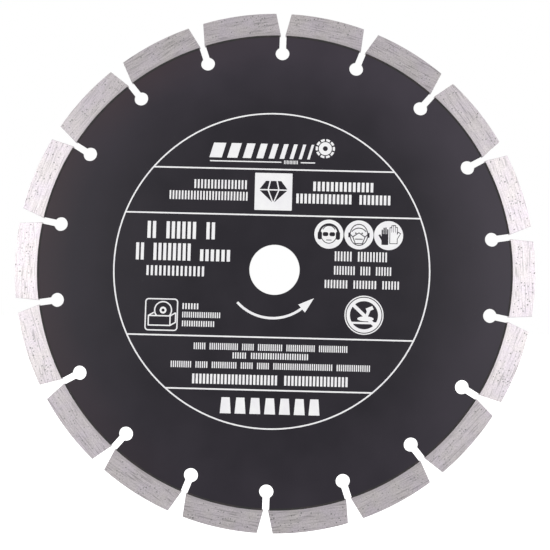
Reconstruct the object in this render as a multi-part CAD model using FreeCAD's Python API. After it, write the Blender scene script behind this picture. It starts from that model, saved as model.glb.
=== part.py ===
import FreeCAD
import Part

import math
import os

# Segmented diamond cutting blade for a large angle grinder.
#
# The blade stands in the XZ plane and turns about the Y axis. Its origin is the centre of the arbor bore at
# mid thickness, +Z is up through one gullet, and the printed face looks along -Y. Units are millimetres.
#
# A thin steel core carries a rim of separate segments. Each segment is a sintered diamond block on a
# diamond-free foot. A laser weld joins each foot to its land of the core: a narrow seam right through the
# thickness, with a low bead in the corner on each face. Keyhole gullets part the lands. A black coat covers
# both faces of the core. The front coat carries a white print, flush with its surface: a ring, four dividing
# lines and the arrow for the direction of rotation.

# Driving dimensions.
BLADE_DIAMETER = 230.0
BORE_DIAMETER = 22.23
SEGMENT_COUNT = 18

CORE_THICKNESS = 1.8
BORE_CHAMFER = 0.3
GULLET_WIDTH = 3.0
GULLET_HOLE_DIAMETER = 6.2
GULLET_HOLE_CIRCLE = 194.3
GULLET_CHAMFER = 0.15

SEGMENT_HEIGHT = 9.9  # foot included
SEGMENT_THICKNESS = 2.6
SEGMENT_BASE_WIDTH = 34.5
SEGMENT_END_TAPER = 3.65  # degrees, each end face leans in towards the outside
SEGMENT_CHAMFER = 0.12
FOOT_HEIGHT = 1.0

WELD_WIDTH = 0.3  # between the core's edge and the foot
WELD_TOE = 0.5  # how far the bead runs on to the core's face
WELD_RISE = 0.24  # how far it climbs the foot
WELD_BULGE = 0.05
WELD_END_MARGIN = 0.1  # the weld stops this short of the land's corner

COAT_THICKNESS = 0.06
COAT_MARGIN = 0.05  # between the coat and the chamfers and beads

PRINT_THICKNESS = 0.02
PRINT_SHIFT_X = -1.3  # the print is a little off the bore's centre
PRINT_SHIFT_Z = -0.15
PRINT_TURN = 0.72  # degrees, anticlockwise as the front face is seen
PRINT_LINE = 0.65
RING_RADIUS = 69.8
DIVIDER_HEIGHTS = (44.75, 24.3, -29.8, -52.95)
ARROW_CENTRE_X = 0.6
ARROW_CENTRE_Z = -0.3
ARROW_RADIUS = 21.0
ARROW_STROKE = 1.12
ARROW_TAIL_ANGLE = 223.0
ARROW_NECK_ANGLE = 308.5
ARROW_HEAD_LENGTH = 7.1
ARROW_HEAD_WIDTH = 4.6
ARROW_HEAD_TURN = 2.7  # degrees, the head is turned in from the line of the arc

# Worked out from them.
BLADE_RADIUS = BLADE_DIAMETER / 2
BORE_RADIUS = BORE_DIAMETER / 2
FOOT_BASE_RADIUS = BLADE_RADIUS - SEGMENT_HEIGHT
FOOT_TOP_RADIUS = FOOT_BASE_RADIUS + FOOT_HEIGHT
CORE_RADIUS = FOOT_BASE_RADIUS - WELD_WIDTH
GULLET_HOLE_RADIUS = GULLET_HOLE_DIAMETER / 2
GULLET_HOLE_PLACE = GULLET_HOLE_CIRCLE / 2
PITCH = 360.0 / SEGMENT_COUNT
FACE_Y = CORE_THICKNESS / 2

FRONT = -1
BACK = 1
ORIGIN = FreeCAD.Vector(0, 0, 0)
ALONG_Y = FreeCAD.Vector(0, 1, 0)
OVERSHOOT = 1.0  # how far a cutter runs past what it cuts
TOLERANCE = 1e-4


def point(x, z, y=0.0):
    """A point from its place in the front view, x to the right and z up."""
    return FreeCAD.Vector(x, y, z)


def line(start, end):
    return Part.LineSegment(start, end).toShape()


def arc(start, middle, end):
    return Part.Arc(start, middle, end).toShape()


def disc(radius, y_low, y_high, centre_x=0.0, centre_z=0.0):
    """A round plate about an axis along Y."""
    return Part.makeCylinder(radius, y_high - y_low, point(centre_x, centre_z, y_low), ALONG_Y)


def prism(edges, y_low, y_high):
    """A solid from a closed outline drawn at y = 0."""
    face = Part.Face(Part.Wire(edges))
    face.translate(ALONG_Y * y_low)
    return face.extrude(ALONG_Y * (y_high - y_low))


def around_the_rim(shape, first_angle):
    """One copy of a shape at the top for each segment, the first one turned clockwise by first_angle."""
    copies = []
    for index in range(SEGMENT_COUNT):
        copy = shape.copy()
        copy.rotate(ORIGIN, ALONG_Y, first_angle + PITCH * index)
        copies.append(copy)
    return copies


def bored_and_slotted(outer_radius, inner_radius, y_low, y_high, grow=0.0):
    """A disc with a central hole and keyhole gullets, each gullet grown all round by the same amount."""
    low, high = y_low - OVERSHOOT, y_high + OVERSHOOT
    width = GULLET_WIDTH + 2 * grow
    corner = point(-width / 2, GULLET_HOLE_PLACE, low)
    slot = Part.makeBox(width, high - low, BLADE_RADIUS - GULLET_HOLE_PLACE, corner)
    hole = disc(GULLET_HOLE_RADIUS + grow, low, high, 0.0, GULLET_HOLE_PLACE)
    gullets = around_the_rim(slot.fuse(hole), 0.0)
    return disc(outer_radius, y_low, y_high).cut(gullets + [disc(inner_radius, low, high)])


# ---- Steel core ----


def face_edges_between(shape, least_radius, most_radius):
    """The edges on the core's two faces that lie between two radii, without those on the outer rim."""
    found = []
    for edge in shape.Edges:
        middle = edge.valueAt((edge.FirstParameter + edge.LastParameter) / 2)
        spots = [vertex.Point for vertex in edge.Vertexes] + [middle]
        on_a_face = all(abs(abs(spot.y) - FACE_Y) < TOLERANCE for spot in spots)
        radii = [math.hypot(spot.x, spot.z) for spot in spots]
        on_the_rim = min(radii) > CORE_RADIUS - TOLERANCE
        if on_a_face and not on_the_rim and min(radii) > least_radius and max(radii) < most_radius:
            found.append(edge)
    return found


def make_core():
    core = bored_and_slotted(CORE_RADIUS, BORE_RADIUS, -FACE_Y, FACE_Y)
    core = core.makeChamfer(BORE_CHAMFER, face_edges_between(core, 0.0, BORE_RADIUS + TOLERANCE))
    gullet_floor = GULLET_HOLE_PLACE - GULLET_HOLE_RADIUS
    gullet_edges = face_edges_between(core, gullet_floor - TOLERANCE, CORE_RADIUS + TOLERANCE)
    return core.makeChamfer(GULLET_CHAMFER, gullet_edges)


# ---- Segments ----


def segment_outline():
    """Two arcs about the blade's axis, joined by end faces that lean in."""
    base_x = SEGMENT_BASE_WIDTH / 2
    base_z = math.sqrt(FOOT_BASE_RADIUS**2 - base_x**2)
    lean = math.radians(SEGMENT_END_TAPER)
    climb = base_z * math.cos(lean) - base_x * math.sin(lean)
    reach = math.sqrt(climb**2 + BLADE_RADIUS**2 - FOOT_BASE_RADIUS**2) - climb
    tip_x = base_x - reach * math.sin(lean)
    tip_z = base_z + reach * math.cos(lean)
    return [
        arc(point(-base_x, base_z), point(0, FOOT_BASE_RADIUS), point(base_x, base_z)),
        line(point(base_x, base_z), point(tip_x, tip_z)),
        arc(point(tip_x, tip_z), point(0, BLADE_RADIUS), point(-tip_x, tip_z)),
        line(point(-tip_x, tip_z), point(-base_x, base_z)),
    ]


def make_segment_and_foot():
    """The diamond block and the foot below it, cut from one block with its edges broken."""
    half = SEGMENT_THICKNESS / 2
    block = prism(segment_outline(), -half, half)
    block = block.makeChamfer(SEGMENT_CHAMFER, block.Edges)
    lower_part = disc(FOOT_TOP_RADIUS, -half - OVERSHOOT, half + OVERSHOOT)
    return block.cut(lower_part), block.common(lower_part)


# ---- Welds ----


def make_weld_seam():
    """The seam under one foot: a section turned about the blade's axis over the width of a land."""
    toe_radius = CORE_RADIUS - WELD_TOE
    crest_radius = (toe_radius + FOOT_BASE_RADIUS) / 2
    crest_y = FACE_Y + WELD_RISE / 2 + WELD_BULGE

    def bead(side):
        """The bead's surface, from its toe on the core's face up to the foot."""
        toe = point(0, toe_radius, side * FACE_Y)
        crest = point(0, crest_radius, side * crest_y)
        top = point(0, FOOT_BASE_RADIUS, side * (FACE_Y + WELD_RISE))
        return toe, crest, top

    front_toe, front_crest, front_top = bead(FRONT)
    back_toe, back_crest, back_top = bead(BACK)
    front_corner = point(0, CORE_RADIUS, FRONT * FACE_Y)
    back_corner = point(0, CORE_RADIUS, BACK * FACE_Y)
    section = Part.Wire(
        [
            line(front_corner, front_toe),
            arc(front_toe, front_crest, front_top),
            line(front_top, back_top),
            arc(back_top, back_crest, back_toe),
            line(back_toe, back_corner),
            line(back_corner, front_corner),
        ]
    )
    lost_each_end = math.asin((GULLET_WIDTH / 2 + WELD_END_MARGIN) / CORE_RADIUS)
    half_angle = PITCH / 2 - math.degrees(lost_each_end)
    face = Part.Face(section)
    face.rotate(ORIGIN, ALONG_Y, -half_angle)
    return face.revolve(ORIGIN, ALONG_Y, 2 * half_angle)


# ---- Coats and print ----


def layer(side, bottom, top):
    """The lowest and highest y of a layer, from its heights above one face of the core."""
    return sorted((side * (FACE_Y + bottom), side * (FACE_Y + top)))


def make_coat(side):
    y_low, y_high = layer(side, 0.0, COAT_THICKNESS)
    outer = CORE_RADIUS - WELD_TOE - COAT_MARGIN
    inner = BORE_RADIUS + BORE_CHAMFER + COAT_MARGIN
    return bored_and_slotted(outer, inner, y_low, y_high, GULLET_CHAMFER + COAT_MARGIN)


def ring_and_dividers(y_low, y_high):
    edge = RING_RADIUS + PRINT_LINE / 2
    hollow = disc(edge - PRINT_LINE, y_low - OVERSHOOT, y_high + OVERSHOOT)
    marks = disc(edge, y_low, y_high).cut(hollow)
    inside = disc(RING_RADIUS, y_low, y_high)
    for height in DIVIDER_HEIGHTS:
        corner = point(-BLADE_RADIUS, height - PRINT_LINE / 2, y_low)
        strip = Part.makeBox(BLADE_DIAMETER, y_high - y_low, PRINT_LINE, corner)
        marks = marks.fuse(strip.common(inside))
    return marks.removeSplitter()


def arrow(y_low, y_high):
    """An arc that ends in a triangular head."""

    def polar(radius, degrees):
        angle = math.radians(degrees)
        x = ARROW_CENTRE_X + radius * math.cos(angle)
        return point(x, ARROW_CENTRE_Z + radius * math.sin(angle))

    inner = ARROW_RADIUS - ARROW_STROKE / 2
    outer = ARROW_RADIUS + ARROW_STROKE / 2
    middle_angle = (ARROW_TAIL_ANGLE + ARROW_NECK_ANGLE) / 2
    neck = polar(ARROW_RADIUS, ARROW_NECK_ANGLE)
    head_angle = math.radians(ARROW_NECK_ANGLE + ARROW_HEAD_TURN)
    sideways = point(math.cos(head_angle), math.sin(head_angle))
    forward = point(-math.sin(head_angle), math.cos(head_angle))
    head = [
        polar(outer, ARROW_NECK_ANGLE),
        neck + sideways * (ARROW_HEAD_WIDTH / 2),
        neck + forward * ARROW_HEAD_LENGTH,
        neck - sideways * (ARROW_HEAD_WIDTH / 2),
        polar(inner, ARROW_NECK_ANGLE),
    ]
    tail_outer = polar(outer, ARROW_TAIL_ANGLE)
    tail_inner = polar(inner, ARROW_TAIL_ANGLE)
    edges = [arc(tail_outer, polar(outer, middle_angle), head[0])]
    edges += [line(start, end) for start, end in zip(head, head[1:])]
    edges.append(arc(head[-1], polar(inner, middle_angle), tail_inner))
    edges.append(line(tail_inner, tail_outer))
    return prism(edges, y_low, y_high)


def make_front_coat_and_print():
    """The print lies in shallow recesses of the front coat, so the finished face is flat."""
    y_low, y_high = layer(FRONT, COAT_THICKNESS - PRINT_THICKNESS, COAT_THICKNESS)
    marks = [ring_and_dividers(y_low, y_high), arrow(y_low, y_high)]
    for mark in marks:
        mark.rotate(ORIGIN, ALONG_Y, -PRINT_TURN)
        mark.translate(point(PRINT_SHIFT_X, PRINT_SHIFT_Z))
    return make_coat(FRONT).cut(marks), Part.makeCompound(marks)


# ---- Files ----


def save(name, shape):
    """Writes one node, after checking that it is made of sound solids."""
    solids = shape.Solids
    if not solids or not all(solid.isValid() and solid.Volume > 0 for solid in solids):
        raise ValueError(f"{name} is not made of sound solids")
    body = solids[0] if len(solids) == 1 else Part.makeCompound(solids)
    body.exportStep(os.path.join("parts", name + ".step"))
    print(f"{name}: {len(solids)} solid(s), {sum(solid.Volume for solid in solids):.2f} mm3")


def main():
    os.makedirs("parts", exist_ok=True)
    save("steel_core", make_core())
    segment, foot = make_segment_and_foot()
    for name, shape in (("segment", segment), ("segment_foot", foot), ("weld_seam", make_weld_seam())):
        for number, copy in enumerate(around_the_rim(shape, PITCH / 2), start=1):
            save(f"{name}_{number:02d}", copy)
    front_coat, front_print = make_front_coat_and_print()
    save("front_coat", front_coat)
    save("front_print", front_print)
    save("back_coat", make_coat(BACK))


main()
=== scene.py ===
import math
import random

import bmesh
import bpy
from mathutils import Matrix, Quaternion, Vector
from mathutils.geometry import delaunay_2d_cdt


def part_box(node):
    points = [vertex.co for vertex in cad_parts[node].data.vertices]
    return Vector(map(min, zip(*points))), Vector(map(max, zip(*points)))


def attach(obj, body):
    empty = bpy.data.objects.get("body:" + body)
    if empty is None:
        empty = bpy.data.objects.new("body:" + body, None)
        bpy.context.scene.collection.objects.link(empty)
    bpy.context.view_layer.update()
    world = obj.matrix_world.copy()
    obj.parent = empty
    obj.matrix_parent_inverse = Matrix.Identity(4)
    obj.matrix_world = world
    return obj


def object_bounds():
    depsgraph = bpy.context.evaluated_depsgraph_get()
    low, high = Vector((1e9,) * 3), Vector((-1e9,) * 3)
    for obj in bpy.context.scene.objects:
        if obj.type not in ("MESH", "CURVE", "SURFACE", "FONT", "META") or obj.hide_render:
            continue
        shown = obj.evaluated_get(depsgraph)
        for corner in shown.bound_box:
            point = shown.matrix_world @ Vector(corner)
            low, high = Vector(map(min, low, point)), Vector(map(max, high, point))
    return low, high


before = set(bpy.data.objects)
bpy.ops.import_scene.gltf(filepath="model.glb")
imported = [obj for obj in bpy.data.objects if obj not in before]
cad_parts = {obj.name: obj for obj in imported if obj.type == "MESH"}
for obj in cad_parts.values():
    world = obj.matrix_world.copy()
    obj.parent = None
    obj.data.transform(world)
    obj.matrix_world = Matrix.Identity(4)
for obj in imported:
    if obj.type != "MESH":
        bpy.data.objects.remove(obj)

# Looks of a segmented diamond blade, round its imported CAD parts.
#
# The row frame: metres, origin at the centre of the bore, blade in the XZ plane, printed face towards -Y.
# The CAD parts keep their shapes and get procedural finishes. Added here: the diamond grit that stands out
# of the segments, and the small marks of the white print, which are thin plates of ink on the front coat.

CAD_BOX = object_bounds()
MM = 0.001
FULL_TURN = 2 * math.pi


# ---- What the frame says ----


def nodes_named(start):
    """The CAD nodes called start_01, start_02 and so on."""
    return [name for name in sorted(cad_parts) if name[: -len("_01")] == start]


def radii(node):
    """The least and greatest distance of a node's surface from the blade's axis."""
    distances = [math.hypot(vertex.co.x, vertex.co.z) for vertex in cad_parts[node].data.vertices]
    return min(distances), max(distances)


SEGMENTS = nodes_named("segment")
FEET = nodes_named("segment_foot")
SEAMS = nodes_named("weld_seam")
PITCH = FULL_TURN / len(SEGMENTS)
BORE_RADIUS = radii("steel_core")[0]
CORE_RADIUS = radii("steel_core")[1]
COAT_RADIUS = radii("front_coat")[1]
BOND_INNER, BOND_OUTER = radii(SEGMENTS[0])
SEGMENT_HALF_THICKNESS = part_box(SEGMENTS[0])[1].y
COAT_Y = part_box("front_coat")[0].y
PRINT_LOW, PRINT_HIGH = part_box("front_print")
PRINT_CENTRE = (PRINT_LOW + PRINT_HIGH) / 2
PRINT_TURN = math.radians(0.72)  # the CAD print lies this much anticlockwise


# ---- Camera, light and floor ----

CAMERA_DISTANCE = 0.3661
CAMERA_LENS = 54.1
CAMERA_AZIMUTH = math.radians(0.45)
CAMERA_ELEVATION = math.radians(-2.86)
CAMERA_ROLL = math.radians(2.13)
CAMERA_AIM = Vector((0.0003, 0.0, -0.0023))
FLOOR_DROP = 0.25  # the blade hangs on its bore, this far above the floor
FLOOR_SIZE = 60.0
ROOM_LIGHT = (0.58, 0.69)  # from low on the walls to high on them
ROOM_SLOPE = 0.45  # sine of the elevation at which those levels are reached
SOFTBOX_DISTANCE = 0.9
FRONT_SOFTBOX_ANGLE = math.radians(38)
BACK_SOFTBOX_ANGLE = math.radians(68)
SOFTBOX_SIZE = (0.42, 0.56)
SOFTBOX_HEIGHT = 0.075
SOFTBOX_POWER = 1.87


def away_from(azimuth, elevation):
    """The direction from the blade towards a viewer; azimuth 0 is the front and grows towards +X."""
    level = math.cos(elevation)
    return Vector((math.sin(azimuth) * level, -math.cos(azimuth) * level, math.sin(elevation)))


def make_camera():
    back = away_from(CAMERA_AZIMUTH, CAMERA_ELEVATION)
    data = bpy.data.cameras.new("camera")
    data.lens = CAMERA_LENS
    data.clip_start = 0.01
    data.clip_end = 2 * FLOOR_SIZE
    camera = bpy.data.objects.new("camera", data)
    camera.location = CAMERA_AIM + back * CAMERA_DISTANCE
    camera.rotation_mode = "QUATERNION"
    camera.rotation_quaternion = (-back).to_track_quat("-Z", "Y") @ Quaternion((0, 0, 1), CAMERA_ROLL)
    bpy.context.scene.collection.objects.link(camera)
    bpy.context.scene.camera = camera


def make_softbox(name, azimuth):
    back = away_from(azimuth, 0.0)
    data = bpy.data.lights.new(name, "AREA")
    data.shape = "RECTANGLE"
    data.size, data.size_y = SOFTBOX_SIZE
    data.energy = SOFTBOX_POWER
    light = bpy.data.objects.new(name, data)
    light.location = back * SOFTBOX_DISTANCE + Vector((0, 0, SOFTBOX_HEIGHT))
    light.rotation_mode = "QUATERNION"
    light.rotation_quaternion = (-back).to_track_quat("-Z", "Y")
    light.visible_camera = False
    bpy.context.scene.collection.objects.link(light)


def make_world():
    """A white backdrop for the camera, and the softer light of a pale room for everything else."""
    world = bpy.data.worlds.new("studio")
    world.use_nodes = True
    nodes, links = world.node_tree.nodes, world.node_tree.links
    room = nodes["Background"]
    backdrop = nodes.new("ShaderNodeBackground")
    for light in (room, backdrop):
        light.inputs["Color"].default_value = (1.0, 1.0, 1.0, 1.0)
    direction = nodes.new("ShaderNodeSeparateXYZ")
    links.new(nodes.new("ShaderNodeTexCoord").outputs["Generated"], direction.inputs[0])
    height = nodes.new("ShaderNodeMapRange")
    links.new(direction.outputs["Z"], height.inputs["Value"])
    height.inputs["From Min"].default_value = -ROOM_SLOPE
    height.inputs["From Max"].default_value = ROOM_SLOPE
    height.inputs["To Min"].default_value, height.inputs["To Max"].default_value = ROOM_LIGHT
    links.new(height.outputs["Result"], room.inputs["Strength"])
    seen = nodes.new("ShaderNodeMixShader")
    links.new(nodes.new("ShaderNodeLightPath").outputs["Is Camera Ray"], seen.inputs["Fac"])
    links.new(room.outputs["Background"], seen.inputs[1])
    links.new(backdrop.outputs["Background"], seen.inputs[2])
    links.new(seen.outputs["Shader"], nodes["World Output"].inputs["Surface"])
    bpy.context.scene.world = world
    bpy.context.scene.view_settings.view_transform = "Standard"


# ---- Materials ----


class Finish:
    """A material, with short ways to add and join its nodes. It works in the row frame, in metres."""

    def __init__(self, name, **shader_values):
        self.material = bpy.data.materials.new(name)
        self.material.use_nodes = True
        self.tree = self.material.node_tree
        self.shader = self.tree.nodes["Principled BSDF"]
        self.place = self.add("TexCoord").outputs["Object"]
        axes = self.add("SeparateXYZ", {"Vector": self.place})
        self.x, self.y, self.z = axes.outputs
        for name_of_input, value in shader_values.items():
            self.feed(name_of_input.replace("_", " "), value)

    def add(self, kind, inputs=None, **settings):
        node = self.tree.nodes.new("ShaderNode" + kind)
        for setting, value in settings.items():
            setattr(node, setting, value)
        for socket, value in (inputs or {}).items():
            self.join(value, node.inputs[socket])
        return node

    def join(self, value, socket):
        if isinstance(value, bpy.types.NodeSocket):
            self.tree.links.new(value, socket)
        else:
            socket.default_value = value

    def feed(self, name_of_input, value):
        """Sets one of the shader's inputs, to a constant or to another node's output."""
        self.join(value, self.shader.inputs[name_of_input])

    def maths(self, operation, first, second=0.0):
        return self.add("Math", {0: first, 1: second}, operation=operation).outputs[0]

    def vector(self, x, y, z):
        return self.add("CombineXYZ", {0: x, 1: y, 2: z}).outputs[0]

    def noise(self, vector, scale, detail=2.0):
        """A noise from 0 to 1 about 0.5; scale is in cycles per unit of the vector."""
        inputs = {"Vector": vector, "Scale": scale, "Detail": detail}
        return self.add("TexNoise", inputs).outputs["Fac"]

    def remap(self, value, low, high, to_low, to_high):
        inputs = {"Value": value, "From Min": low, "From Max": high, "To Min": to_low, "To Max": to_high}
        return self.add("MapRange", inputs).outputs["Result"]

    def mix(self, share, first, second):
        """One colour over another; share 1 gives the second."""
        node = self.add("Mix", {"Factor": share}, data_type="RGBA")
        colours = [socket for socket in node.inputs if socket.type == "RGBA"]
        self.join(first, colours[0])
        self.join(second, colours[1])
        return next(socket for socket in node.outputs if socket.type == "RGBA")

    def tint(self, colour, by):
        """A colour multiplied by another."""
        node = self.add("Mix", {"Factor": 1.0}, data_type="RGBA", blend_type="MULTIPLY")
        colours = [socket for socket in node.inputs if socket.type == "RGBA"]
        self.join(colour, colours[0])
        self.join(by, colours[1])
        return next(socket for socket in node.outputs if socket.type == "RGBA")

    def radius(self):
        across = self.maths("MULTIPLY", self.x, self.x)
        up = self.maths("MULTIPLY", self.z, self.z)
        return self.maths("SQRT", self.maths("ADD", across, up))

    def bump(self, height, depth, strength=1.0):
        """Roughens the surface: depth is the height in metres of a step from 0 to 1."""
        node = self.add("Bump", {"Height": height, "Distance": depth, "Strength": strength})
        self.feed("Normal", node.outputs["Normal"])


def grey(level, red=1.0, green=1.0, blue=1.0):
    return (level * red, level * green, level * blue, 1.0)


LACQUER_IOR = 1.43
LACQUER_PEEL = 0.012 * MM  # the height of the orange peel
BLACK = (0.0030, 0.0007, 0.0066, 1.0)
# The next black is lighter: it stands for dust, and for a painted sheen near the edge and on one side.
DUST_AND_SHEEN_BLACK = (0.0340, 0.0260, 0.0400, 1.0)
# The next black is lighter and brown: a painted sheen, tinted brown, near the edge on another side.
BROWN_SHEEN_BLACK = (0.0420, 0.0195, 0.0230, 1.0)
# The side where the painted sheen lies.
SHEEN_SIDE = math.radians(40)  # clockwise from the top
# The side where the brown-tinted painted sheen lies.
BROWN_SHEEN_SIDE = math.radians(290)
WARM = (1.0, 0.935, 0.945, 1.0)
COOL = (0.99, 0.91, 0.98, 1.0)


def towards(finish, side):
    """How far out a point lies towards one side, as a share of the lacquer's radius."""
    side_x = finish.maths("MULTIPLY", finish.x, math.sin(side) / COAT_RADIUS)
    side_z = finish.maths("MULTIPLY", finish.z, math.cos(side) / COAT_RADIUS)
    return finish.maths("ADD", side_x, side_z)


def lacquer_parts(finish):
    """Colour, roughness and relief of the black lacquer: mottled, with fine orange peel and a little dust.

    The colour is painted lighter towards the edge, most of all on one side: a painted sheen, mixed in with
    the dust. On another side a painted sheen, tinted brown, lightens it near the edge.
    """
    out = finish.maths("DIVIDE", finish.radius(), COAT_RADIUS)
    patches = finish.noise(finish.place, 45.0, 4.0)
    broad = finish.noise(finish.place, 14.0, 2.0)
    grain = finish.noise(finish.place, 2600.0, 2.0)
    specks = finish.noise(finish.place, 1500.0, 3.0)
    # Painted sheen: the lacquer is painted lighter towards its edge, most on one side, with random patches of
    # dust added.
    painted_sheen_side = finish.remap(towards(finish, SHEEN_SIDE), -0.4, 0.8, 0.1, 0.62)
    painted_sheen_edge = finish.maths("MULTIPLY", finish.remap(out, 0.7, 0.93, 0.0, 1.0), painted_sheen_side)
    dust_and_sheen = finish.maths("ADD", finish.remap(out, 0.5, 1.0, 0.0, 0.2), painted_sheen_edge)
    dust_and_sheen = finish.maths("ADD", dust_and_sheen, finish.remap(patches, 0.35, 0.7, 0.0, 0.17))
    # Painted sheen, tinted brown: the lacquer is painted lighter and browner near the edge on another side.
    brown_sheen_side = finish.remap(towards(finish, BROWN_SHEEN_SIDE), 0.0, 1.0, 0.0, 0.55)
    brown_sheen_edge = finish.maths("MULTIPLY", finish.remap(out, 0.86, 1.0, 0.0, 1.0), brown_sheen_side)
    brown_sheen = finish.maths("MULTIPLY", brown_sheen_edge, finish.remap(broad, 0.35, 0.55, 0.5, 1.0))
    colour = finish.mix(dust_and_sheen, BLACK, DUST_AND_SHEEN_BLACK)
    colour = finish.mix(brown_sheen, colour, BROWN_SHEEN_BLACK)
    colour = finish.mix(finish.remap(specks, 0.72, 0.80, 0.0, 0.35), colour, grey(0.10))
    rough = finish.remap(patches, 0.3, 0.7, 0.36, 0.46)
    return colour, rough, grain


def make_lacquer():
    finish = Finish("black_lacquer", IOR=LACQUER_IOR)
    # The colour carries the lacquer's painted sheen.
    colour, rough, grain = lacquer_parts(finish)
    finish.feed("Base Color", colour)
    finish.feed("Roughness", rough)
    finish.bump(grain, LACQUER_PEEL, 0.5)
    return finish.material


def make_core_finish():
    """Lacquer all over, except for the bore, which is left as bare turned steel."""
    finish = Finish("core_finish", IOR=LACQUER_IOR)
    # The colour carries the lacquer's painted sheen here too.
    colour, rough, grain = lacquer_parts(finish)
    bare = finish.maths("LESS_THAN", finish.radius(), BORE_RADIUS + 0.03 * MM)
    drawn_out = finish.vector(finish.x, finish.maths("MULTIPLY", finish.y, 30.0), finish.z)
    turning = finish.noise(drawn_out, 300.0)
    steel = finish.mix(finish.remap(turning, 0.3, 0.7, 0.0, 1.0), grey(0.36), grey(0.58))
    finish.feed("Base Color", finish.mix(bare, colour, steel))
    finish.feed("Metallic", bare)
    finish.feed("Roughness", rough)
    finish.bump(grain, LACQUER_PEEL, 0.5)
    return finish.material


def make_weld_finish():
    """The bead: burnt nearly black under the lacquer, duller than the flat face, and rippled."""
    finish = Finish("weld_finish", IOR=1.4)
    angle = finish.maths("ARCTAN2", finish.x, finish.z)
    ripples = finish.noise(finish.vector(finish.maths("MULTIPLY", angle, CORE_RADIUS), 0.0, 0.0), 2200.0)
    patches = finish.noise(finish.place, 400.0, 3.0)
    burnt = finish.remap(patches, 0.4, 0.7, 0.0, 1.0)
    colour = finish.mix(burnt, grey(0.019), grey(0.036, 1.15, 0.9, 0.95))
    finish.feed("Base Color", colour)
    finish.feed("Roughness", finish.remap(patches, 0.3, 0.7, 0.5, 0.7))
    finish.bump(ripples, 0.05 * MM, 0.6)
    return finish.material


def make_ink():
    """White screen print: matt, a little uneven, with a few pinholes where the black shows through."""
    finish = Finish("white_ink", Roughness=0.55)
    patches = finish.noise(finish.place, 220.0, 3.0)
    pinholes = finish.noise(finish.place, 3200.0, 2.0)
    colour = finish.mix(finish.remap(patches, 0.3, 0.7, 0.0, 1.0), grey(0.88, 1.0, 0.985, 1.02), grey(0.95))
    colour = finish.mix(finish.remap(pinholes, 0.75, 0.80, 0.0, 0.8), colour, grey(0.2))
    finish.feed("Base Color", colour)
    finish.bump(patches, 0.01 * MM, 0.4)
    return finish.material


GRIND_WANDER = math.radians(4)  # how far each segment's grinding lines may be off its length
GRIND_LENGTHWAYS = (80.0, 130.0, 35.0)  # cycles per metre of the fine, the medium and the broad lines
GRIND_CROSSWAYS = (3400.0, 1900.0, 700.0)
GRIND_SHIFT = 3.7  # from one segment to the next, so that no two have the same lines
GRIND_TILT = 0.3  # keeps the tangent off the normal on the segments' ends and rim
SHINE_SPREAD = 0.03  # how far a line is shinier or duller than the metal's own roughness
TONE_SPREAD = 0.03  # how far one segment is lighter or darker than the next


def segment_axes(finish):
    """Numbers the segment that a point lies on, and turns its coordinates to that segment.

    Gives the number, a chance value from 0 to 1 that is the same all over one segment, the sine and cosine
    of the direction across its grinding lines, and the place along and across them. That direction is
    nearly the one from the bore to the segment's middle. Segments change over in the gullet between them.
    """
    turns = finish.maths("DIVIDE", finish.maths("ARCTAN2", finish.x, finish.z), PITCH)
    number = finish.maths("FLOOR", turns)
    chance = finish.add("TexWhiteNoise", {"W": number}, noise_dimensions="1D").outputs["Value"]
    middle = finish.maths("MULTIPLY", finish.maths("ADD", number, 0.5), PITCH)
    turned = finish.maths("ADD", middle, finish.remap(chance, 0.0, 1.0, -GRIND_WANDER, GRIND_WANDER))
    sine, cosine = finish.maths("SINE", turned), finish.maths("COSINE", turned)
    x_cosine, z_sine = finish.maths("MULTIPLY", finish.x, cosine), finish.maths("MULTIPLY", finish.z, sine)
    x_sine, z_cosine = finish.maths("MULTIPLY", finish.x, sine), finish.maths("MULTIPLY", finish.z, cosine)
    along = finish.maths("SUBTRACT", x_cosine, z_sine)
    across = finish.maths("ADD", x_sine, z_cosine)
    return number, chance, sine, cosine, along, finish.maths("ADD", across, finish.y)


def grinding_lines(finish, along, across, shift):
    """Three noises drawn out along the segment: fine, medium and broad lines."""
    lines = []
    for lengthways, crossways in zip(GRIND_LENGTHWAYS, GRIND_CROSSWAYS):
        stretched = finish.vector(
            finish.maths("MULTIPLY", along, lengthways), finish.maths("MULTIPLY", across, crossways), shift
        )
        lines.append(finish.noise(stretched, 1.0, 3.0))
    return lines


def make_ground_metal(name, pale, dark, roughness):
    """Metal ground along the segment, which spreads its highlights across the grinding lines.

    It has fine lines, short dark scores, and the grain of the powder that it is sintered from.
    """
    finish = Finish(name, Metallic=1.0, Anisotropic=0.84)
    number, chance, sine, cosine, along, across = segment_axes(finish)
    fine, medium, broad = grinding_lines(finish, along, across, finish.maths("MULTIPLY", number, GRIND_SHIFT))
    lines = finish.maths("ADD", finish.maths("MULTIPLY", fine, 0.5), finish.maths("MULTIPLY", medium, 0.5))
    scored = finish.remap(medium, 0.32, 0.47, 1.0, 0.0)
    patchy = finish.remap(broad, 0.3, 0.6, 1.0, 0.4)
    streaked = finish.maths("MULTIPLY", finish.remap(lines, 0.38, 0.62, 0.65, 0.0), patchy)
    colour = finish.mix(finish.maths("MAXIMUM", scored, streaked), pale, dark)
    grains = finish.noise(finish.place, 1500.0, 2.0)
    colour = finish.mix(finish.remap(grains, 0.44, 0.62, 0.0, 0.38), colour, dark)
    blotches = finish.noise(finish.place, 130.0, 3.0)
    colour = finish.tint(colour, finish.mix(finish.remap(blotches, 0.35, 0.65, 0.0, 1.0), WARM, COOL))
    tone = finish.remap(chance, 0.0, 1.0, 1.0 - TONE_SPREAD, 1.0 + TONE_SPREAD)
    colour = finish.tint(colour, finish.vector(tone, tone, tone))
    finish.feed("Base Color", colour)
    shiny, dull = roughness - SHINE_SPREAD, roughness + SHINE_SPREAD
    finish.feed("Roughness", finish.remap(lines, 0.3, 0.7, shiny, dull))
    finish.feed("Tangent", finish.vector(sine, GRIND_TILT, cosine))
    finish.bump(lines, 0.02 * MM, 0.4)
    return finish.material


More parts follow.
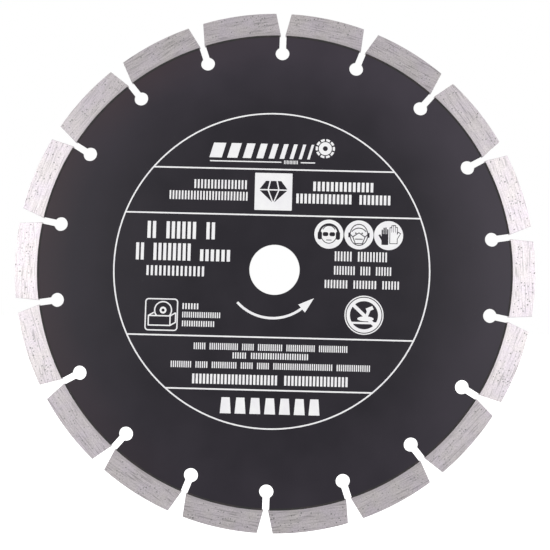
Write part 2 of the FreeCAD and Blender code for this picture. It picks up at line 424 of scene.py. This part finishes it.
def make_diamond():
    """Diamond grit with the usual metal coating, ground off level, from dark grey to bright.

    Its tops are worn across the grinding lines: they glint where the bond is dull, and are dark where it
    shines.
    """
    finish = Finish("diamond_grit", Metallic=1.0, Roughness=0.34, Anisotropic=0.95)
    _, _, sine, cosine, _, _ = segment_axes(finish)
    patches = finish.noise(finish.place, 700.0, 2.0)
    crushed = finish.noise(finish.place, 5000.0, 2.0)
    bright = finish.remap(patches, 0.42, 0.6, 0.0, 1.0)
    colour = finish.mix(bright, grey(0.22), grey(0.48, 1.02, 0.97, 0.97))
    colour = finish.mix(finish.remap(crushed, 0.55, 0.7, 0.0, 0.3), colour, grey(0.3))
    finish.feed("Base Color", colour)
    finish.feed("Tangent", finish.vector(cosine, GRIND_TILT, finish.maths("MULTIPLY", sine, -1.0)))
    finish.bump(finish.noise(finish.place, 900.0, 1.0), 0.03 * MM)
    return finish.material


def paint(names, material):
    """Gives CAD nodes a finish."""
    for name in names:
        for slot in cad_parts[name].material_slots:
            slot.material = material


def add_piece(name, bm, material):
    """Makes a new piece, which goes with the blade's one body."""
    mesh = bpy.data.meshes.new(name)
    bm.to_mesh(mesh)
    bm.free()
    mesh.materials.append(material)
    piece = bpy.data.objects.new(name, mesh)
    bpy.context.scene.collection.objects.link(piece)
    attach(piece, "root")


# ---- Diamond grit ----

BOND_RECESS = 0.03 * MM  # the bond is worn this far below the tips of the grit, which reach the CAD surface
GRIT_SIZE = (0.52 * MM, 0.98 * MM)
GRIT_ROOT = 0.08 * MM  # how deep a crystal goes into the bond
GRIT_MARGIN = 0.5 * MM
GRIT_CLUSTERED = 0.6  # the share of crystals that lie beside another
GRIT_CLUSTER_SIZE = 1.2 * MM
GRIT_TAPER = 0.82  # a crystal's flat top against its root
GRIT_PER_FACE = 38
GRIT_ON_RIM = 16
GRIT_ON_END = 5


def recess_bond(name):
    """Lowers the whole surface of a segment by the recess, with modifiers that leave its mesh as it is."""
    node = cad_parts[name]
    weld = node.modifiers.new("one_skin", "WELD")
    weld.merge_threshold = 0.001 * MM
    shrink = node.modifiers.new("worn_bond", "DISPLACE")
    shrink.strength = -BOND_RECESS
    shrink.mid_level = 0.0


def add_crystal(bm, tip, outward, chance):
    """A crystal stump: an irregular plate with slanted sides, its flat top at tip, facing outward."""
    outward = outward.normalized()
    first = outward.orthogonal().normalized()
    second = outward.cross(first)
    corners = chance.randint(4, 7)
    radius = chance.uniform(*GRIT_SIZE) / 2
    stretch = chance.uniform(0.65, 1.0)
    start = chance.uniform(0.0, FULL_TURN)
    top, root = [], []
    for corner in range(corners):
        angle = start + FULL_TURN * (corner + chance.uniform(-0.25, 0.25)) / corners
        reach = first * (radius * math.cos(angle)) + second * (radius * stretch * math.sin(angle))
        top.append(bm.verts.new(tip + reach * GRIT_TAPER))
        root.append(bm.verts.new(tip + reach - outward * GRIT_ROOT))
    bm.faces.new(top)
    bm.faces.new(reversed(root))
    for here in range(corners):
        after = (here + 1) % corners
        bm.faces.new((top[here], root[here], root[after], top[after]))


def segment_corners():
    """The right-hand corners of a segment's front outline in its own axes: x along it and z outwards."""
    middle = Quaternion((0, 1, 0), -PITCH / 2)
    points = [middle @ vertex.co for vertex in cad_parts[SEGMENTS[0]].data.vertices]
    low = max(points, key=lambda point: point.x - point.z)
    high = max(points, key=lambda point: point.x + point.z)
    return low, high


def scatter(count, low, high, reach, chance):
    """Places for crystals on a surface, in loose clusters and never touching.

    A place is how far it is to one side of the surface's middle, up to reach, and how far up it is, from
    low to high.
    """
    places = []
    while len(places) < count:
        up = chance.uniform(low, high)
        aside = chance.uniform(-1, 1) * reach(up)
        if places and chance.random() < GRIT_CLUSTERED:
            near_aside, near_up = chance.choice(places)
            aside = near_aside + chance.gauss(0, GRIT_CLUSTER_SIZE)
            up = near_up + chance.gauss(0, GRIT_CLUSTER_SIZE)
        inside = low <= up <= high and abs(aside) <= reach(up)
        if inside and all(math.dist((aside, up), other) > GRIT_SIZE[1] for other in places):
            places.append((aside, up))
    return places


def make_grit(number, name, corners, material):
    """The crystals on one segment: both faces, the rim and both ends."""
    chance = random.Random(number)
    low, high = corners
    lean = (low.x - high.x) / (high.z - low.z)
    turn = Quaternion((0, 1, 0), PITCH * (number + 0.5))
    depth = SEGMENT_HALF_THICKNESS
    edge = depth - GRIT_MARGIN
    bm = bmesh.new()

    def half_width(z):
        return low.x - (z - low.z) * lean

    def face_reach(z):
        return half_width(z) - GRIT_MARGIN

    def crystal(x, y, z, outward):
        add_crystal(bm, turn @ Vector((x, y, z)), turn @ outward, chance)

    for side in (-1, 1):
        inner, outer = BOND_INNER + GRIT_MARGIN, BOND_OUTER - GRIT_MARGIN
        for x, radius in scatter(GRIT_PER_FACE, inner, outer, face_reach, chance):
            crystal(x, side * depth, math.sqrt(radius**2 - x**2), Vector((0, side, 0)))
        for y, z in scatter(GRIT_ON_END, low.z + GRIT_MARGIN, high.z - GRIT_MARGIN, lambda z: edge, chance):
            crystal(side * half_width(z), y, z, Vector((side, 0, lean)))
    flat = GRIT_SIZE[1] ** 2 / (8 * BOND_OUTER)  # keeps a flat top inside the round rim
    for x, y in scatter(GRIT_ON_RIM, -edge, edge, lambda y: high.x - GRIT_MARGIN, chance):
        outward = Vector((x, 0, math.sqrt(BOND_OUTER**2 - x**2))).normalized()
        top = outward * (BOND_OUTER - flat)
        crystal(top.x, y, top.z, outward)
    add_piece(name, bm, material)


# ---- Small marks of the print ----
#
# Sizes and places here are millimetres in the print's own axes: u to the right and v up from the ring's
# centre. A mark is a list of layers painted one over another. Each layer is an outline, and either ink or
# bare coat.

INK_HEIGHT = 0.015 * MM
INK_ROOT = 0.004 * MM
ARC_STEP = math.radians(5)
WORD_GAP = 0.8  # this and the bars' widths are shares of a letter's width
LIGHT_BAR = 0.26
HEAVY_BAR = 0.31
INK = True
BARE = False


def on_coat(u, v, height):
    """A point of the print in the row frame, at a height above the coat."""
    x = (u * math.cos(PRINT_TURN) - v * math.sin(PRINT_TURN)) * MM
    z = (u * math.sin(PRINT_TURN) + v * math.cos(PRINT_TURN)) * MM
    return Vector((PRINT_CENTRE.x + x, COAT_Y - height, PRINT_CENTRE.z + z))


def arc_points(u, v, radius, start=0.0, end=360.0, squash=1.0):
    """Points along an arc, from one angle to another in degrees, the last one left out on a full circle."""
    sweep = math.radians(end - start)
    steps = max(2, math.ceil(abs(sweep) / ARC_STEP))
    count = steps if abs(end - start) >= 360.0 else steps + 1
    angles = [math.radians(start) + sweep * step / steps for step in range(count)]
    return [(u + radius * math.cos(angle), v + radius * squash * math.sin(angle)) for angle in angles]


def disc(u, v, radius, layer=INK):
    return [(arc_points(u, v, radius), layer)]


def ring(u, v, outer, inner):
    return disc(u, v, outer) + disc(u, v, inner, BARE)


def block(left, right, low, high, corner=0.0, layer=INK):
    """A rectangle, with rounded corners if corner is over 0."""
    if corner == 0:
        return [([(left, low), (right, low), (right, high), (left, high)], layer)]
    points = arc_points(right - corner, high - corner, corner, 0, 90)
    points += arc_points(left + corner, high - corner, corner, 90, 180)
    points += arc_points(left + corner, low + corner, corner, 180, 270)
    points += arc_points(right - corner, low + corner, corner, 270, 360)
    return [(points, layer)]


def stroke(points, width, layer=INK, closed=False):
    """A line of even width through points, with round joints and square ends."""
    layers = []
    ends = points[1:] + points[:1] if closed else points[1:]
    for (u, v), (next_u, next_v) in zip(points, ends):
        length = math.hypot(next_u - u, next_v - v)
        side_u = -(next_v - v) / length * width / 2
        side_v = (next_u - u) / length * width / 2
        corners = [(u - side_u, v - side_v), (next_u - side_u, next_v - side_v)]
        corners += [(next_u + side_u, next_v + side_v), (u + side_u, v + side_v)]
        layers.append((corners, layer))
    joints = points if closed else points[1:-1]
    return layers + [(arc_points(u, v, width / 2), layer) for u, v in joints]


def bow(u, v, radius, start, end, line, layer=INK, squash=1.0):
    """A curved line of even width, along an arc between two angles in degrees."""
    outer, inner = radius + line / 2, radius - line / 2
    points = arc_points(u, v, outer, start, end, (radius * squash + line / 2) / outer)
    points += arc_points(u, v, inner, end, start, (radius * squash - line / 2) / inner)
    return [(points, layer)]


def words(left, right, low, high, letters, heavy=False):
    """A row in place of a line of text: each word is a run of even upright bars, all of one height.

    letters holds how many letters each word stands for. A run has two bars for each of them.
    """
    pitch = (right - left) / (sum(letters) + WORD_GAP * (len(letters) - 1))
    width = (HEAVY_BAR if heavy else LIGHT_BAR) * pitch
    layers = []
    start = left
    for count in letters:
        for bar in range(2 * count):
            u = start + bar * pitch / 2
            layers += block(u, u + width, low, high)
        start += (count + WORD_GAP) * pitch
    return layers


def anticlockwise(outline):
    """The outline, turned round if it runs clockwise."""
    ends = outline[1:] + outline[:1]
    area = sum(u * next_v - next_u * v for (u, v), (next_u, next_v) in zip(outline, ends))
    return outline if area > 0 else outline[::-1]


def print_mark(name, layers, material):
    """Makes a mark's layers into one plate of ink: each spot is what the last layer over it says."""
    points, outlines = [], []
    for outline in [anticlockwise(layer[0]) for layer in layers]:
        outlines.append(list(range(len(points), len(points) + len(outline))))
        points += [Vector(point) for point in outline]
    flat, _, faces, _, _, covered_by = delaunay_2d_cdt(points, [], outlines, 1, 1e-5)
    inked = [face for face, covers in zip(faces, covered_by) if covers and layers[max(covers)][1] == INK]
    bm = bmesh.new()
    top = [bm.verts.new(on_coat(point.x, point.y, INK_HEIGHT)) for point in flat]
    root = [bm.verts.new(on_coat(point.x, point.y, -INK_ROOT)) for point in flat]
    edges = set()
    for face in inked:
        bm.faces.new([top[corner] for corner in face])
        bm.faces.new([root[corner] for corner in reversed(face)])
        edges |= set(zip(face, face[1:] + face[:1]))
    for start, end in edges:
        if (end, start) not in edges:
            bm.faces.new((top[end], top[start], root[start], root[end]))
    loose = [vertex for vertex in bm.verts if not vertex.link_faces]
    bmesh.ops.delete(bm, geom=loose, context="VERTS")
    bmesh.ops.recalc_face_normals(bm, faces=bm.faces)
    add_piece(name, bm, material)


def title_stripes():
    """Slanted stripes, each thinner than the one before."""
    layers = []
    count, left, width, gap, lean, thinning = 9, -28.9, 5.5, 2.4, 1.9, 0.82
    low, high = 49.6, 56.2
    for _ in range(count):
        right = left + width
        layers.append(([(left, low), (right, low), (right + lean, high), (left + lean, high)], INK))
        left += width + gap
        width *= thinning
    return layers


def toothed_wheel(u, v):
    layers = []
    teeth, tip, root, half_tooth = 10, 4.3, 3.3, 13
    for tooth in range(teeth):
        middle = 360.0 * tooth / teeth
        outer = arc_points(u, v, tip, middle - half_tooth, middle + half_tooth)
        inner = arc_points(u, v, root, middle + half_tooth, middle - half_tooth)
        layers.append((outer + inner, INK))
    return layers + ring(u, v, 2.9, 1.1)


def title_marks():
    """In place of a name: slanted stripes, a broken rule under them, and a plain toothed wheel."""
    rule_low, rule_high = 47.8, 48.3
    layers = title_stripes()
    layers += block(-28.6, 3.2, rule_low, rule_high)
    layers += block(11.8, 18.2, rule_low, rule_high)
    layers += words(4.4, 10.8, 47.3, 48.9, (5,))
    return layers + toothed_wheel(22.6, 54.6)


def gem_marks():
    """A white square with a cut gem in it, seen from the side."""
    layers = block(-8.3, 8.3, 26.5, 43.1, 0.3)
    crown, girdle, point_v = 39.6, 35.6, 29.6
    gem = [(-3.4, crown), (3.4, crown), (6.4, girdle), (0.0, point_v), (-6.4, girdle)]
    layers.append((gem, BARE))
    line = 0.55
    layers += stroke([gem[-1], gem[2]], line)
    for side in (-1, 1):
        layers += stroke([(side * 1.5, crown), (side * 2.4, girdle), (0.0, point_v)], line)
    return layers + disc(0.0, point_v - 0.2, 0.3)


def ear_defender_marks(u, v):
    """A head in outline, with goggles and ear defenders."""
    line = 0.35
    layers = bow(u, v, 3.5, 185, 355, line, BARE, 1.15)
    layers += bow(u, v + 0.2, 4.2, 12, 168, 0.9, BARE)
    layers += bow(u, v + 0.8, 3.0, 25, 155, line, BARE)
    layers += stroke([(u - 1.2, v - 2.6), (u + 1.2, v - 2.6)], line, BARE)
    for side in (-1, 1):
        layers += block(u + side * 4.0 - 0.95, u + side * 4.0 + 0.95, v - 2.4, v + 1.2, 0.8, BARE)
        layers += block(u + side * 1.5 - 1.25, u + side * 1.5 + 1.25, v - 0.9, v + 0.9, 0.8, BARE)
    return layers


def dust_mask_marks(u, v):
    """A head in outline, with a mask over its lower half."""
    line, tall = 0.4, 1.2
    mask = [(u - 2.7, v - 0.9), (u - 1.6, v - 3.9), (u + 1.6, v - 3.9), (u + 2.7, v - 0.9), (u, v + 0.9)]
    layers = bow(u, v, 3.9, 90, 270, line, BARE, tall) + bow(u, v, 3.9, 270, 450, line, BARE, tall)
    layers += bow(u, v - 0.9, 3.9, 35, 145, line, BARE)
    layers += stroke(mask, line, BARE, closed=True)
    layers += stroke([(u - 1.7, v - 1.9), (u + 1.7, v - 1.9)], line, BARE)
    for side in (-1, 1):
        layers += stroke([(u + side * 2.7, v - 0.9), (u + side * 3.9, v + 0.2)], line, BARE)
        layers += disc(u + side * 1.4, v + 0.7, 0.35, BARE)
        layers += block(u + side * 4.3 - 0.4, u + side * 4.3 + 0.4, v - 1.2, v + 1.0, 0.3, BARE)
    return layers


def glove_marks(u, v, thumb, grow=0.0, layer=BARE):
    """An upright glove; thumb is the side it is on, and grow thickens the shape all round."""
    layers = block(u - 1.5 - grow, u + 1.5 + grow, v - 3.9 - grow, v + 0.9, 0.25, layer)
    thumb_tip = (u + thumb * (2.5 + grow / 2), v + 0.6 + grow)
    layers += stroke([(u + thumb, v - 1.9), thumb_tip], 0.9 + 2 * grow, layer)
    for finger, top in enumerate((2.9, 3.8, 3.9, 3.1)):
        left = u - 1.5 + finger * 0.8
        layers += block(left - grow, left + 0.6 + grow, v, v + top + grow, 0.25, layer)
    return layers


def protection_marks():
    """Three white discs with plain pictures: ear defenders and goggles, a dust mask, a pair of gloves."""
    v, radius = 16.45, 6.45
    ears, mask, gloves = 25.0, 38.3, 51.4
    layers = disc(ears, v, radius) + disc(mask, v, radius) + disc(gloves, v, radius)
    layers += ear_defender_marks(ears, v) + dust_mask_marks(mask, v)
    outlined, outline = (gloves + 2.2, v + 0.5, 1), 0.3
    layers += glove_marks(*outlined, outline) + glove_marks(*outlined, 0.0, INK)
    return layers + glove_marks(gloves - 1.6, v - 0.3, -1)


def cutting_marks():
    """A framed picture: a blade with its flanges, halfway into a slab."""
    left, right, low, high, line = -55.4, -40.8, -28.0, -13.7, 0.55
    layers = block(left, right, low, high, 1.6)
    layers += block(left + line, right - line, low + line, high - line, 1.1, BARE)
    centre_u, centre_v, radius = -47.4, -18.9, 4.0
    layers += ring(centre_u, centre_v, radius, radius - line) + ring(centre_u, centre_v, 1.5, 0.7)
    slab_left, slab_right, slab_low, slab_top = left + 1.6, right - 3.4, -25.6, -21.4
    face = [(slab_left, slab_low), (slab_right, slab_low), (slab_right, slab_top), (slab_left, slab_top)]
    behind = [(u + 2.4, v + 1.44) for u, v in face]
    layers.append((face, BARE))
    layers += stroke(face, line, closed=True)
    layers += stroke([face[3], behind[3]], line) + stroke([face[2], behind[2]], line)
    return layers + stroke([face[1], behind[1], behind[2]], line)


def forbidden_marks():
    """A ring with a slash over a plain picture: a blade laid on its side on a slab."""
    u, v = 41.2, -19.0
    layers = ring(u, v, 8.6, 8.1) + ring(u, v, 7.7, 6.2)
    layers += block(u - 5.6, u + 5.6, v - 3.9, v - 3.0)
    layers.append((arc_points(u + 0.7, v - 1.6, 3.6, squash=0.3), INK))
    layers += stroke([(u + 0.7, v - 1.5), (u + 2.3, v + 2.6)], 1.3)
    layers += stroke([(u + 1.0, v + 2.2), (u + 3.9, v + 3.4)], 1.6)
    return layers + stroke([(u - 5.0, v + 4.6), (u + 5.0, v - 4.6)], 1.5)


def bottom_marks():
    """In place of the lowest word: a row of solid blocks that narrow upwards, as the segments do."""
    layers = []
    count, left, right, low, high, lean = 7, -22.0, 23.4, -63.4, -56.4, 0.6
    pitch = (right - left) / count
    half = 0.37 * pitch
    for place in range(count):
        middle = left + (place + 0.5) * pitch
        base, top = (middle - half, middle + half), (middle - half + lean, middle + half - lean)
        layers.append(([(base[0], low), (base[1], low), (top[1], high), (top[0], high)], INK))
    return layers


def small_print():
    """Every row of small print: its left and right ends, base, top, and the letters in each word."""
    rows = (
        (-35.2, -11.2, 35.6, 39.6, (8,)),
        (-46.1, -10.8, 30.5, 34.4, (13,)),
        (-55.3, -28.9, -3.6, 0.8, (7,)),
        (-38.9, -31.3, -18.2, -15.6, (3,)),
        (-38.9, -21.7, -21.9, -19.4, (9,)),
        (-38.9, -24.2, -25.8, -23.3, (7,)),
        (27.8, 51.5, 4.6, 8.9, (3, 5)),
        (27.6, 53.4, -1.4, 2.4, (4, 2, 3)),
        (23.6, 57.0, -7.4, -3.8, (4, 4, 3)),
        (-33.4, 34.6, -35.7, -32.8, (3, 7, 3, 6, 7, 7)),
        (-16.2, 17.5, -39.4, -36.7, (3, 12)),
        (-43.3, 44.7, -43.8, -41.0, (5, 3, 6, 3, 3, 14, 8)),
    )
    heavy_rows = (
        (-55.4, -24.6, 12.9, 20.5, (1, 3, 1)),
        (-60.2, -35.2, 3.2, 10.8, (1, 4)),
        (-31.8, -17.6, 3.2, 8.4, (3,)),
        (17.6, 45.0, 35.5, 39.7, (7,)),
        (10.2, 52.6, 29.9, 34.2, (7, 4)),
        (-33.7, 35.2, -50.7, -46.4, (12, 9)),
    )
    layers = []
    for row in rows:
        layers += words(*row)
    for row in heavy_rows:
        layers += words(*row, heavy=True)
    return layers


def make_print(ink):
    print_mark("print_title_bars", title_marks(), ink)
    print_mark("print_gem_square", gem_marks(), ink)
    print_mark("print_protection_signs", protection_marks(), ink)
    print_mark("print_cutting_picture", cutting_marks(), ink)
    print_mark("print_forbidden_sign", forbidden_marks(), ink)
    print_mark("print_bottom_blocks", bottom_marks(), ink)
    print_mark("print_small_rows", small_print(), ink)


# ---- The scene ----


def make_floor():
    bm = bmesh.new()
    bmesh.ops.create_grid(bm, x_segments=2, y_segments=2, size=FLOOR_SIZE / 2)
    mesh = bpy.data.meshes.new("floor")
    bm.to_mesh(mesh)
    bm.free()
    finish = Finish("pale_floor", Base_Color=grey(0.8), Roughness=1.0)
    finish.feed("Emission Color", grey(1.0))
    finish.feed("Emission Strength", 1.0)
    mesh.materials.append(finish.material)
    floor = bpy.data.objects.new("floor", mesh)
    floor.location.z = CAD_BOX[0].z - FLOOR_DROP
    floor.visible_diffuse = False
    floor.visible_glossy = False
    floor.visible_shadow = False
    bpy.context.scene.collection.objects.link(floor)


def main():
    make_camera()
    make_world()
    make_floor()
    for name, azimuth in (
        ("softbox_front_right", FRONT_SOFTBOX_ANGLE),
        ("softbox_front_left", -FRONT_SOFTBOX_ANGLE),
        ("softbox_back_right", math.pi - BACK_SOFTBOX_ANGLE),
        ("softbox_back_left", math.pi + BACK_SOFTBOX_ANGLE),
    ):
        make_softbox(name, azimuth)
    ink = make_ink()
    diamond = make_diamond()
    paint(["front_coat", "back_coat"], make_lacquer())
    paint(["steel_core"], make_core_finish())
    paint(["front_print"], ink)
    paint(SEAMS, make_weld_finish())
    paint(FEET, make_ground_metal("ground_foot", grey(0.71), grey(0.54), 0.38))
    paint(SEGMENTS, make_ground_metal("ground_bond", grey(0.84), grey(0.46), 0.42))
    corners = segment_corners()
    for number, name in enumerate(SEGMENTS):
        recess_bond(name)
        make_grit(number, name.replace("segment", "segment_grit"), corners, diamond)
    make_print(ink)


main()
